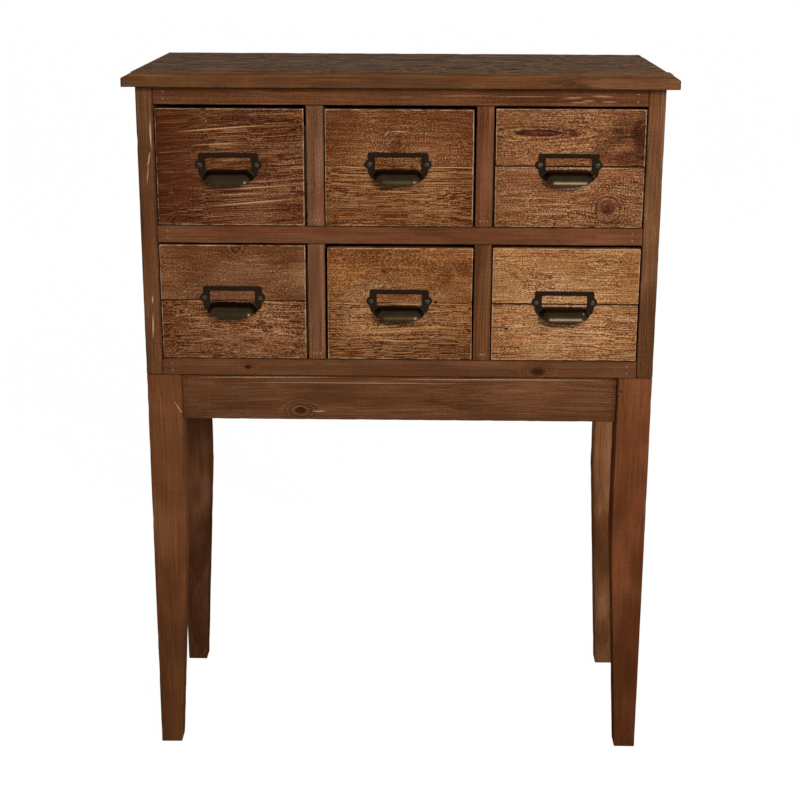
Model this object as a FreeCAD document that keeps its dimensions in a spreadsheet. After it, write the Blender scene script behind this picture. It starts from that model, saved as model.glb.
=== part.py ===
import FreeCAD, Part
import os
import Sketcher

# An apothecary chest of six small drawers on a stand with four tapered legs.
# Millimetres. X runs to the right, Y to the back and Z up. The origin lies on the floor, under
# the middle of the chest's overall width and depth.

doc = FreeCAD.newDocument("ApothecaryChest")
sheet = doc.addObject("Spreadsheet::Sheet", "Sizes")

# Driving sizes, one row of the sheet each
SIZES = {
    # Case: the box that holds the drawers
    "case_width": 650,
    "case_depth": 290,
    "side_thickness": 21,
    "rail_height": 22,
    "rail_depth": 22,
    "mullion_width": 22,
    "opening_height": 150,
    "shelf_thickness": 12,
    "partition_thickness": 12,
    "back_thickness": 5,
    "batten_height": 22,
    "batten_depth": 22,
    "runner_reach": 14,
    "guide_height": 12,
    # Top board, with a raised field inside a bevelled edge
    "top_thickness": 18,
    "top_overhang": 15,
    "top_back_overhang": 15,
    "field_step": 1.2,
    "bevel_width": 11.5,
    "bevel_drop": 5.8,
    # Stand
    "leg_height": 525,
    "leg_width": 44,
    "foot_width": 28,
    "taper_height": 315,
    "foot_chamfer": 2,
    "apron_height": 61.5,
    "apron_thickness": 18,
    "apron_setback": 8,
    "block_width": 18,
    "block_height": 46,
    # Drawers
    "front_thickness": 18,
    "front_recess": 1,
    "side_gap": 1.5,
    "gap_above": 2.3,
    "gap_below": 0.9,
    "box_side_thickness": 10,
    "box_side_height": 122,
    "box_back_thickness": 10,
    "box_bottom_thickness": 4,
    "groove_depth": 5,
    "groove_height": 7,
    "stop_gap": 0.5,
    # Planks of the drawer fronts that are made of two: height of the seam above the front's foot
    "upper_middle_seam": 75,
    "upper_right_seam": 76,
    "lower_left_seam": 75.5,
    "lower_middle_seam": 74,
    "lower_right_seam": 73.5,
    # Label pull: plate, card window, two ears and a finger hood
    "plate_width": 75,
    "plate_metal": 1.2,
    "plate_corner": 2.5,
    "rim_height": 6.2,
    "window_width": 57,
    "window_height": 14.3,
    "window_sill": 0.6,
    "ear_radius": 6.0,
    "ear_spacing": 71.0,
    "ear_height": 6.4,
    "shoulder_drop": 24,
    "lip_radius": 64,
    "hood_radius": 18.8,
    "hood_flat": 38,
    "hood_end": 15.5,
    "pull_level": 70.5,
    # Screws and brads
    "pull_screw_shank": 3,
    "pull_screw_length": 13,
    "pull_screw_head": 5.8,
    "pull_screw_head_height": 1.7,
    "slot_width": 1,
    "slot_depth": 0.8,
    "wood_screw_shank": 4,
    "wood_screw_head": 8,
    "wood_screw_head_height": 2.5,
    "wood_screw_grip": 12,
    "leg_screw_grip": 26,
    "brad_width": 1.8,
    "brad_length": 16,
    "rail_brad_spacing": 9,
    "rail_brad_inset": 13,
    "mullion_brad_spacing": 4.5,
    "mullion_brad_rise": 8,
    # Clearances
    "running_gap": 0.3,
    "glue_gap": 0.15,
    "hole_gap": 0.15,
}
# Where each pull was fixed, across and up from its nominal place, as the hand-fitted pulls show
PULL_OFFSETS = {
    "upper_left": (-2.5, -1.4),
    "upper_middle": (-2, 0.3),
    "upper_right": (-1, 0.6),
    "lower_left": (-1.5, 2.3),
    "lower_middle": (0, -0.6),
    "lower_right": (-1, -1),
}
for drawer_name, (across, up) in PULL_OFFSETS.items():
    SIZES[f"{drawer_name}_pull_across"] = across
    SIZES[f"{drawer_name}_pull_up"] = up
for row, (alias, value) in enumerate(SIZES.items(), start=1):
    sheet.set(f"A{row}", alias)
    sheet.set(f"B{row}", str(value))
    sheet.setAlias(f"B{row}", alias)
doc.recompute()

ROWS = ("lower", "upper")
COLUMNS = ("left", "middle", "right")


# Levels and lines that several pieces share, as expressions on the sheet
def size(name):
    return f"Sizes.{name}"


HALF_WIDTH = f"({size('case_width')} / 2)"
PULL_STANDS_OUT = f"({size('hood_radius')} - {size('front_recess')})"
FRONT_MOST = f"max({size('top_overhang')}; {PULL_STANDS_OUT})"
CASE_FRONT = f"(({FRONT_MOST} - {size('case_depth')} - {size('top_back_overhang')}) / 2)"
CASE_BACK = f"({CASE_FRONT} + {size('case_depth')})"
CASE_FLOOR = size("leg_height")
STOREY = f"({size('rail_height')} + {size('opening_height')})"
CASE_TOP = f"({CASE_FLOOR} + 2 * {STOREY} + {size('rail_height')})"
INNER_LEFT = f"({size('side_thickness')} - {HALF_WIDTH})"
INNER_WIDTH = f"({size('case_width')} - 2 * {size('side_thickness')})"
OPENING_WIDTH = f"(({INNER_WIDTH} - 2 * {size('mullion_width')}) / 3)"
INNER_FRONT = f"({CASE_FRONT} + {size('rail_depth')})"
INNER_DEPTH = f"({size('case_depth')} - {size('rail_depth')} - {size('back_thickness')})"
RUNNER_HEIGHT = f"({size('rail_height')} - {size('shelf_thickness')})"
PARTITION_SETBACK = f"(({size('mullion_width')} - {size('partition_thickness')}) / 2)"
FRONT_HEIGHT = f"({size('opening_height')} - {size('gap_below')} - {size('gap_above')})"


def storey_floor(row):
    """Underside of the rail below a row of drawers; row 0 is the lower one."""
    return f"({CASE_FLOOR} + {row} * {STOREY})"


def opening_floor(row):
    return f"({storey_floor(row)} + {size('rail_height')})"


def opening_left(column):
    return f"({INNER_LEFT} + {column} * ({OPENING_WIDTH} + {size('mullion_width')}))"


def mullion_left(column):
    """Left face of the mullion to the right of a column of drawers."""
    return f"({opening_left(column)} + {OPENING_WIDTH})"


# Small helpers
def place(piece, x, y, z):
    for axis, expression in zip("xyz", (x, y, z)):
        piece.setExpression(f"Placement.Base.{axis}", expression)


def block(name, at, length, width, height):
    """A plain board: length along X, width along Y, height along Z, from its low corner."""
    piece = doc.addObject("Part::Box", name)
    piece.setExpression("Length", length)
    piece.setExpression("Width", width)
    piece.setExpression("Height", height)
    place(piece, *at)
    return piece


def rod(name, at, radius, length, turn=(0, 0, 1, 0)):
    """A round bar from its foot, along Z until it is turned about an axis by an angle."""
    piece = doc.addObject("Part::Cylinder", name)
    piece.setExpression("Radius", radius)
    piece.setExpression("Height", length)
    piece.Placement.Rotation = FreeCAD.Rotation(FreeCAD.Vector(*turn[:3]), turn[3])
    place(piece, *at)
    return piece


def taper(name, at, low_radius, high_radius, length):
    piece = doc.addObject("Part::Cone", name)
    piece.setExpression("Radius1", low_radius)
    piece.setExpression("Radius2", high_radius)
    piece.setExpression("Height", length)
    place(piece, *at)
    return piece


def joined(name, pieces):
    piece = doc.addObject("Part::MultiFuse", name)
    piece.Shapes = pieces
    return piece


def shared(name, pieces):
    piece = doc.addObject("Part::MultiCommon", name)
    piece.Shapes = pieces
    return piece


def cut(name, base, tool):
    piece = doc.addObject("Part::Cut", name)
    piece.Base = base
    piece.Tool = tool
    return piece


def group(name, pieces):
    piece = doc.addObject("Part::Compound", name)
    piece.Links = pieces
    return piece


def outline(body, name, plane_role, corners):
    """Closed sketch through corners that are pairs of expressions, measured from the body's origin."""
    plane = next(feature for feature in body.Origin.OriginFeatures if feature.Role == plane_role)
    sketch = body.newObject("Sketcher::SketchObject", name)
    sketch.AttachmentSupport = [(plane, "")]
    sketch.MapMode = "FlatFace"
    points = [FreeCAD.Vector(*[sheet.evalExpression(way) for way in corner], 0) for corner in corners]
    for start, stop in zip(points, points[1:] + points[:1]):
        sketch.addGeometry(Part.LineSegment(start, stop))
    count = len(corners)
    for line in range(count):
        sketch.addConstraint(Sketcher.Constraint("Coincident", line, 2, (line + 1) % count, 1))
    upright_axis = -2
    level_axis = -1
    for line, corner in enumerate(corners):
        for kind, axis, expression in zip(("DistanceX", "DistanceY"), (upright_axis, level_axis), corner):
            if expression == "0":
                sketch.addConstraint(Sketcher.Constraint("PointOnObject", line, 1, axis))
                continue
            start_value = sheet.evalExpression(expression)
            index = sketch.addConstraint(Sketcher.Constraint(kind, -1, 1, line, 1, start_value))
            sketch.setExpression(f"Constraints[{index}]", expression)
    return sketch


NODES = {}


def node(name, piece):
    piece.Label = name
    NODES[name] = piece
    return piece


INTO_WOOD = (1, 0, 0, -90)


def pull_line(row, column):
    """Expressions for the middle, the level of the hood's top and the face of a drawer front."""
    name = f"{ROWS[row]}_{COLUMNS[column]}"
    middle = f"({opening_left(column)} + {OPENING_WIDTH} / 2 + {size(name + '_pull_across')})"
    front_low = f"({opening_floor(row)} + {size('gap_below')})"
    hood_top = f"({front_low} + {size('pull_level')} + {size(name + '_pull_up')})"
    face = f"({CASE_FRONT} + {size('front_recess')})"
    return middle, hood_top, face


# Top board
def top_board():
    body = doc.addObject("PartDesign::Body", "TopBoard")
    full_length = f"({size('case_width')} + 2 * {size('top_overhang')})"
    full_width = f"({size('case_depth')} + {size('top_overhang')} + {size('top_back_overhang')})"
    slab = body.newObject("PartDesign::Pad", "Slab")
    slab.Profile = outline(body, "SlabOutline", "XY_Plane", (
        ("0", "0"), (full_length, "0"), (full_length, full_width), ("0", full_width)))
    slab.setExpression("Length", f"{size('top_thickness')} - {size('field_step')}")
    doc.recompute()

    # The bevel runs along the front and both ends; the back stays square against the wall.
    top_level = slab.Shape.BoundBox.ZMax
    back_line = slab.Shape.BoundBox.YMax
    edges = []
    for index, edge in enumerate(slab.Shape.Edges, start=1):
        box = edge.BoundBox
        is_top = abs(box.ZMin - top_level) < 1e-6 and abs(box.ZMax - top_level) < 1e-6
        if is_top and not abs(box.YMin - back_line) < 1e-6:
            edges.append(f"Edge{index}")
    bevel = body.newObject("PartDesign::Chamfer", "EdgeBevel")
    bevel.Base = (slab, edges)
    bevel.ChamferType = "Two distances"
    bevel.setExpression("Size", size("bevel_drop"))
    bevel.setExpression("Size2", size("bevel_width"))
    doc.recompute()
    below_edge = FreeCAD.Vector(slab.Shape.BoundBox.Center.x, 1, top_level - 1)
    if not bevel.Shape.BoundBox.isValid() or bevel.Shape.isInside(below_edge, 1e-6, False):
        bevel.FlipDirection = True
    doc.recompute()

    inset = size("bevel_width")
    far_end = f"({full_length} - {inset})"
    raised = body.newObject("PartDesign::Pad", "RaisedField")
    raised.Profile = outline(body, "FieldOutline", "XY_Plane", (
        (inset, inset), (far_end, inset), (far_end, full_width), (inset, full_width)))
    raised.setExpression("Length", size("top_thickness"))
    place(body, f"-{full_length} / 2", f"{CASE_FRONT} - {size('top_overhang')}", CASE_TOP)
    return body


# Countersunk screws that hold the top board and the stand to the case
def screw_spots():
    """Name, point under the head, way (1 up, -1 down), grip past the head's board."""
    spots = []
    rail_middle = f"({CASE_FRONT} + {size('rail_depth')} / 2)"
    batten_middle = f"({CASE_BACK} - {size('back_thickness')} - {size('batten_depth')} / 2)"
    for line, depth, height in (
        ("rail", rail_middle, size("rail_height")),
        ("batten", batten_middle, size("batten_height")),
    ):
        for column in (0, 1, 2):
            across = f"({opening_left(column)} + {OPENING_WIDTH} / 2)"
            head = f"({CASE_TOP} - {height})"
            reach = f"({height} + {size('wood_screw_grip')})"
            spots.append((f"{line}_{column}", across, depth, head, 1, reach, line))
    for side in (-1, 1):
        across = f"({side} * ({HALF_WIDTH} - ({size('side_thickness')} + {size('leg_width')}) / 2))"
        front = f"({CASE_FRONT} + ({size('rail_depth')} + {size('leg_width')}) / 2)"
        rear = f"({CASE_BACK} - ({size('back_thickness')} + {size('leg_width')}) / 2)"
        for end, depth in (("front", front), ("rear", rear)):
            head = f"({CASE_FLOOR} + {size('shelf_thickness')})"
            reach = f"({size('shelf_thickness')} + {size('leg_screw_grip')})"
            spots.append((f"leg_{end}_{side}", across, depth, head, -1, reach, f"leg_{end}_{side}"))
    return spots


def wood_screw(name, spot, slack):
    """The screw with no slack, or the hole for it."""
    _, across, depth, head, way, reach, _ = spot
    shank_radius = f"{size('wood_screw_shank')} / 2 + {slack}"
    head_radius = f"{size('wood_screw_head')} / 2 + {slack}"
    tall = size("wood_screw_head_height")
    long = f"({reach} + {slack})"
    if way > 0:
        shank = rod(f"{name}_shank", (across, depth, head), shank_radius, long)
        cone = taper(f"{name}_cone", (across, depth, head), head_radius, shank_radius, tall)
    else:
        shank = rod(f"{name}_shank", (across, depth, f"{head} - {long}"), shank_radius, long)
        cone = taper(f"{name}_cone", (across, depth, f"{head} - {tall}"), shank_radius, head_radius, tall)
    return joined(name, [shank, cone])


SCREW_SPOTS = screw_spots()


def screw_holes(owner, line):
    """Holes in one piece for the screws of one line."""
    return [
        wood_screw(f"{owner}_hole_{spot[0]}", spot, size("hole_gap"))
        for spot in SCREW_SPOTS
        if spot[6] == line
    ]


# Brads whose heads show on the front frame
def brad_spots():
    """Name, place across, level and the piece that the brad is in."""
    spots = []
    for index, rail in enumerate(("bottom_rail", "middle_rail", "top_rail")):
        middle = f"({storey_floor(index)} + {size('rail_height')} / 2)"
        for side in (-1, 1):
            rail_end = f"({HALF_WIDTH} - {size('side_thickness')})"
            across = f"({side} * ({rail_end} - {size('rail_brad_inset')}))"
            for step in (-0.5, 0.5):
                level = f"({middle} + {step} * {size('rail_brad_spacing')})"
                spots.append((f"{rail}_{side}_{step}", across, level, rail))
    for row, name in enumerate(ROWS):
        for column in (0, 1):
            middle = f"({mullion_left(column)} + {size('mullion_width')} / 2)"
            level = f"({opening_floor(row)} + {size('mullion_brad_rise')})"
            for step in (-1, 0, 1):
                across = f"({middle} + {step} * {size('mullion_brad_spacing')})"
                spots.append((f"{name}_{column}_{step}", across, level, f"{name}_mullion_{column}"))
    return spots


BRAD_SPOTS = brad_spots()


def brad(name, spot, slack):
    _, across, level, _ = spot
    radius = f"{size('brad_width')} / 2 + {slack}"
    return rod(name, (across, CASE_FRONT, level), radius, f"{size('brad_length')} + {slack}", INTO_WOOD)


def brad_holes(owner):
    return [
        brad(f"{owner}_brad_hole_{spot[0]}", spot, size("hole_gap"))
        for spot in BRAD_SPOTS
        if spot[3] == owner
    ]


# Case
def case():
    node("top_board", cut("TopBoardDrilled", top_board(), joined(
        "TopHoles", screw_holes("top", "rail") + screw_holes("top", "batten"))))
    case_height = f"({CASE_TOP} - {CASE_FLOOR})"
    for side, x in (("left", f"-{HALF_WIDTH}"), ("right", f"{HALF_WIDTH} - {size('side_thickness')}")):
        panel = block(f"{side}_panel", (x, CASE_FRONT, CASE_FLOOR),
                      size("side_thickness"), size("case_depth"), case_height)
        node(f"{side}_side_panel", panel)
    for row, name in enumerate(("bottom_rail", "middle_rail", "top_rail")):
        rail = block(f"{name}_bar", (INNER_LEFT, CASE_FRONT, storey_floor(row)),
                     INNER_WIDTH, size("rail_depth"), size("rail_height"))
        holes = brad_holes(name)
        if name == "top_rail":
            holes += screw_holes(name, "rail")
        node(name, cut(f"{name}_drilled", rail, joined(f"{name}_holes", holes)))
    batten_front = f"({CASE_BACK} - {size('back_thickness')} - {size('batten_depth')})"
    batten = block("batten_bar", (INNER_LEFT, batten_front, f"{CASE_TOP} - {size('batten_height')}"),
                   INNER_WIDTH, size("batten_depth"), size("batten_height"))
    holes = joined("batten_holes", screw_holes("batten", "batten"))
    node("top_batten", cut("batten_drilled", batten, holes))
    node("back_panel", block("back_sheet", (INNER_LEFT, f"{CASE_BACK} - {size('back_thickness')}", CASE_FLOOR),
                             INNER_WIDTH, size("back_thickness"), case_height))
    floor = block("floor_sheet", (INNER_LEFT, INNER_FRONT, CASE_FLOOR),
                  INNER_WIDTH, INNER_DEPTH, size("shelf_thickness"))
    leg_holes = [hole for spot in SCREW_SPOTS if spot[6].startswith("leg")
                 for hole in screw_holes("floor", spot[6])]
    node("bottom_board", cut("floor_drilled", floor, joined("floor_holes", leg_holes)))
    node("middle_shelf", block("shelf_sheet", (INNER_LEFT, INNER_FRONT, storey_floor(1)),
                               INNER_WIDTH, INNER_DEPTH, size("shelf_thickness")))


# Mullions in front, the partitions behind them, and the runners and guides that carry the drawers
def dividers():
    mullions = []
    partitions = []
    runners = []
    guides = []
    partition_height = f"({STOREY} - {size('shelf_thickness')})"
    for row, name in enumerate(ROWS):
        shelf_top = f"({storey_floor(row)} + {size('shelf_thickness')})"
        for column in (0, 1):
            left = mullion_left(column)
            bar = block(f"{name}_mullion_{column}_bar", (left, CASE_FRONT, opening_floor(row)),
                        size("mullion_width"), size("rail_depth"), size("opening_height"))
            holes = joined(f"{name}_mullion_{column}_holes", brad_holes(f"{name}_mullion_{column}"))
            mullions.append(cut(f"{name}_mullion_{column}", bar, holes))
            partitions.append(block(f"{name}_partition_{column}",
                                    (f"{left} + {PARTITION_SETBACK}", INNER_FRONT, shelf_top),
                                    size("partition_thickness"), INNER_DEPTH, partition_height))
        for column, bay in enumerate(COLUMNS):
            for side in ("left", "right"):
                by_partition = (side, column) not in (("left", 0), ("right", len(COLUMNS) - 1))
                runner_pieces(f"{name}_{bay}_{side}", row, column, side, by_partition, runners, guides)
    node("mullions", group("mullion_set", mullions))
    node("partitions", group("partition_set", partitions))
    node("drawer_runners", group("runner_set", runners))
    node("drawer_guides", group("guide_set", guides))


def runner_pieces(name, row, column, side, by_partition, runners, guides):
    """A strip under one edge of a drawer, and the guide on it where a thin partition stands beside it."""
    spare = PARTITION_SETBACK if by_partition else "0"
    shelf_top = f"({storey_floor(row)} + {size('shelf_thickness')})"
    opening = opening_left(column)
    if side == "left":
        strip_x = f"({opening} - {spare})"
        guide_x = strip_x
    else:
        strip_x = f"({opening} + {OPENING_WIDTH} - {size('runner_reach')})"
        guide_x = f"({opening} + {OPENING_WIDTH})"
    runners.append(block(f"{name}_runner", (strip_x, INNER_FRONT, shelf_top),
                         f"({spare} + {size('runner_reach')})", INNER_DEPTH, RUNNER_HEIGHT))
    if by_partition:
        guides.append(block(f"{name}_guide", (guide_x, INNER_FRONT, f"({shelf_top} + {RUNNER_HEIGHT})"),
                            PARTITION_SETBACK, INNER_DEPTH, size("guide_height")))


# Stand
def leg(name, side, end):
    """A square leg whose two inner faces taper to the foot; its outer faces stay upright."""
    body = doc.addObject("PartDesign::Body", f"{name}_body")
    foot, wide = size("foot_width"), size("leg_width")
    knee, top = size("taper_height"), size("leg_height")
    post = body.newObject("PartDesign::Pad", f"{name}_post")
    post.Profile = outline(body, f"{name}_outline", "XZ_Plane", (
        ("0", "0"), (foot, "0"), (wide, knee), (wide, top), ("0", top)))
    post.setExpression("Length", wide)
    post.Reversed = True
    doc.recompute()

    second = body.newObject("PartDesign::Pocket", f"{name}_second_taper")
    second.Profile = outline(body, f"{name}_wedge", "YZ_Plane", ((foot, "0"), (wide, "0"), (wide, knee)))
    second.Type = "ThroughAll"
    second.Midplane = True
    doc.recompute()

    foot_edges = [
        f"Edge{index}" for index, edge in enumerate(second.Shape.Edges, start=1)
        if edge.BoundBox.ZMax < 1e-6
    ]
    chamfer = body.newObject("PartDesign::Chamfer", f"{name}_foot")
    chamfer.Base = (second, foot_edges)
    chamfer.setExpression("Size", size("foot_chamfer"))

    turn = {("left", "front"): 0, ("right", "front"): 90, ("right", "back"): 180, ("left", "back"): 270}
    body.Placement.Rotation = FreeCAD.Rotation(FreeCAD.Vector(0, 0, 1), turn[side, end])
    place(body, f"-{HALF_WIDTH}" if side == "left" else HALF_WIDTH,
          CASE_FRONT if end == "front" else CASE_BACK, "0")
    return body


def stand():
    low = f"({CASE_FLOOR} - {size('apron_height')})"
    for side in ("left", "right"):
        for end in ("front", "back"):
            spot = f"leg_{'front' if end == 'front' else 'rear'}_{-1 if side == 'left' else 1}"
            name = f"{end}_{side}_leg"
            post = leg(name, side, end)
            node(name, cut(f"{name}_drilled", post, screw_holes(name, spot)[0]))
    long = f"({size('case_width')} - 2 * {size('leg_width')})"
    deep = f"({size('case_depth')} - 2 * {size('leg_width')})"
    long_x = f"({size('leg_width')} - {HALF_WIDTH})"
    deep_y = f"({CASE_FRONT} + {size('leg_width')})"
    front_y = f"({CASE_FRONT} + {size('apron_setback')})"
    back_y = f"({CASE_BACK} - {size('apron_setback')} - {size('apron_thickness')})"
    left_x = f"({size('apron_setback')} - {HALF_WIDTH})"
    right_x = f"({HALF_WIDTH} - {size('apron_setback')} - {size('apron_thickness')})"
    for name, y in (("front_apron", front_y), ("back_apron", back_y)):
        node(name, block(f"{name}_board", (long_x, y, low), long, size("apron_thickness"), size("apron_height")))
    sides = [
        block(f"{name}_side_apron", (x, deep_y, low), size("apron_thickness"), deep, size("apron_height"))
        for name, x in (("left", left_x), ("right", right_x))
    ]
    node("side_aprons", group("side_apron_pair", sides))

    # Glue blocks behind the aprons, in the corners beside each leg
    blocks = []
    block_low = f"({CASE_FLOOR} - {size('block_height')})"
    inner = f"({size('apron_setback')} + {size('apron_thickness')})"
    wide = size("block_width")
    legs_in = size("leg_width")
    for side, x_long, x_deep in (
        ("left", f"{legs_in} - {HALF_WIDTH}", f"{inner} - {HALF_WIDTH}"),
        ("right", f"{HALF_WIDTH} - {legs_in} - {wide}", f"{HALF_WIDTH} - {inner} - {wide}"),
    ):
        for end, y_long, y_deep in (
            ("front", f"{CASE_FRONT} + {inner}", f"{CASE_FRONT} + {legs_in}"),
            ("back", f"{CASE_BACK} - {inner} - {wide}", f"{CASE_BACK} - {legs_in} - {wide}"),
        ):
            blocks.append(block(f"{end}_{side}_long_block", (x_long, y_long, block_low),
                                wide, wide, size("block_height")))
            blocks.append(block(f"{end}_{side}_deep_block", (x_deep, y_deep, block_low),
                                wide, wide, size("block_height")))
    node("corner_blocks", group("block_set", blocks))


# Drawers
def drawer(row, column):
    name = f"{ROWS[row]}_{COLUMNS[column]}"
    pull_at = pull_line(row, column)
    face = pull_at[2]
    front_x = f"({opening_left(column)} + {size('side_gap')})"
    front_width = f"({OPENING_WIDTH} - 2 * {size('side_gap')})"
    front_z = f"({opening_floor(row)} + {size('gap_below')})"
    box_y = f"({face} + {size('front_thickness')})"
    box_depth = (f"({size('case_depth')} - {size('front_recess')} - {size('front_thickness')}"
                 f" - {size('back_thickness')} - {size('stop_gap')})")
    box_z = f"({opening_floor(row)} + {size('running_gap')})"
    inner_x = f"({front_x} + {size('box_side_thickness')})"
    inner_width = f"({front_width} - 2 * {size('box_side_thickness')})"
    groove_z = f"({box_z} + {size('groove_height')})"
    slot_height = f"({size('box_bottom_thickness')} + 2 * {size('glue_gap')})"
    panel_side = f"({size('groove_depth')} - {size('glue_gap')})"

    # Bottom panel and the groove that it slides into
    panel_x = f"({inner_x} - {panel_side})"
    panel_width = f"({inner_width} + 2 * {panel_side})"
    panel_y = f"({box_y} - {panel_side})"
    panel_depth = f"({box_depth} + {panel_side})"
    panel = block(f"{name}_panel", (panel_x, panel_y, f"{groove_z} + {size('glue_gap')}"),
                  panel_width, panel_depth, size("box_bottom_thickness"))
    node(f"{name}_drawer_bottom", panel)

    def groove(owner):
        gap = size("glue_gap")
        return block(f"{name}_{owner}_groove", (f"{panel_x} - {gap}", f"{panel_y} - {gap}", groove_z),
                     f"{panel_width} + 2 * {gap}", f"{panel_depth} + {gap}", slot_height)

    # Front, of one plank or two glued edge to edge
    if f"{name}_seam" in SIZES:
        seam = size(f"{name}_seam")
        levels = [("0", seam), (seam, f"({FRONT_HEIGHT} - {seam})")]
    else:
        levels = [("0", FRONT_HEIGHT)]
    planks = []
    for index, (foot, height) in enumerate(levels):
        plank = block(f"{name}_plank_{index}", (front_x, face, f"({front_z} + {foot})"),
                      front_width, size("front_thickness"), height)
        tools = [groove(f"plank_{index}")]
        tools += [pull_screw_hole(f"{name}_plank_{index}_hole_{side}", side, pull_at) for side in (-1, 1)]
        planks.append(cut(f"{name}_plank_{index}_cut", plank, joined(f"{name}_plank_{index}_tools", tools)))
    front = planks[0] if len(planks) == 1 else group(f"{name}_planks", planks)
    node(f"{name}_drawer_front", front)

    # Sides and back
    sides = []
    for side, x in (("left", front_x), ("right", f"{inner_x} + {inner_width}")):
        board = block(f"{name}_{side}_board", (x, box_y, box_z),
                      size("box_side_thickness"), box_depth, size("box_side_height"))
        sides.append(cut(f"{name}_{side}_grooved", board, groove(side)))
    node(f"{name}_drawer_sides", group(f"{name}_side_pair", sides))
    back_low = f"({groove_z} + {size('glue_gap')} + {size('box_bottom_thickness')})"
    back = block(f"{name}_back_board",
                 (inner_x, f"{box_y} + {box_depth} - {size('box_back_thickness')}", back_low),
                 inner_width, size("box_back_thickness"),
                 f"{box_z} + {size('box_side_height')} - {back_low}")
    node(f"{name}_drawer_back", back)
    label_pull(name, pull_at)
    pull_screws(name, pull_at)


def ear_place(side, line):
    middle, hood_top, face = line
    return f"({middle} + {side} * {size('ear_spacing')} / 2)", face, f"({hood_top} + {size('ear_height')})"


def pull_screw_hole(name, side, line):
    radius = f"{size('pull_screw_shank')} / 2 + {size('hole_gap')}"
    depth = f"{size('pull_screw_length')} + {size('hole_gap')}"
    return rod(name, ear_place(side, line), radius, depth, INTO_WOOD)


def pull_screws(name, line):
    """Two round-headed screws, each with a driver slot in its head."""
    screws = []
    for side in (-1, 1):
        x, face, z = ear_place(side, line)
        seat = f"({face} - {size('plate_metal')})"
        shank_length = f"{size('pull_screw_length')} + {size('plate_metal')}"
        shank = rod(f"{name}_shank_{side}", (x, seat, z), f"{size('pull_screw_shank')} / 2",
                    shank_length, INTO_WOOD)
        top = f"({seat} - {size('pull_screw_head_height')})"
        head = rod(f"{name}_head_{side}", (x, top, z), f"{size('pull_screw_head')} / 2",
                   size("pull_screw_head_height"), INTO_WOOD)
        slot = block(f"{name}_slot_{side}",
                     (f"{x} - {size('pull_screw_head')}", f"{top} - {size('slot_depth')}",
                      f"{z} - {size('slot_width')} / 2"),
                     f"2 * {size('pull_screw_head')}", f"2 * {size('slot_depth')}", size("slot_width"))
        whole = joined(f"{name}_whole_screw_{side}", [shank, head])
        screws.append(cut(f"{name}_screw_{side}", whole, slot))
    node(f"{name}_drawer_screws", group(f"{name}_screw_pair", screws))


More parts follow.
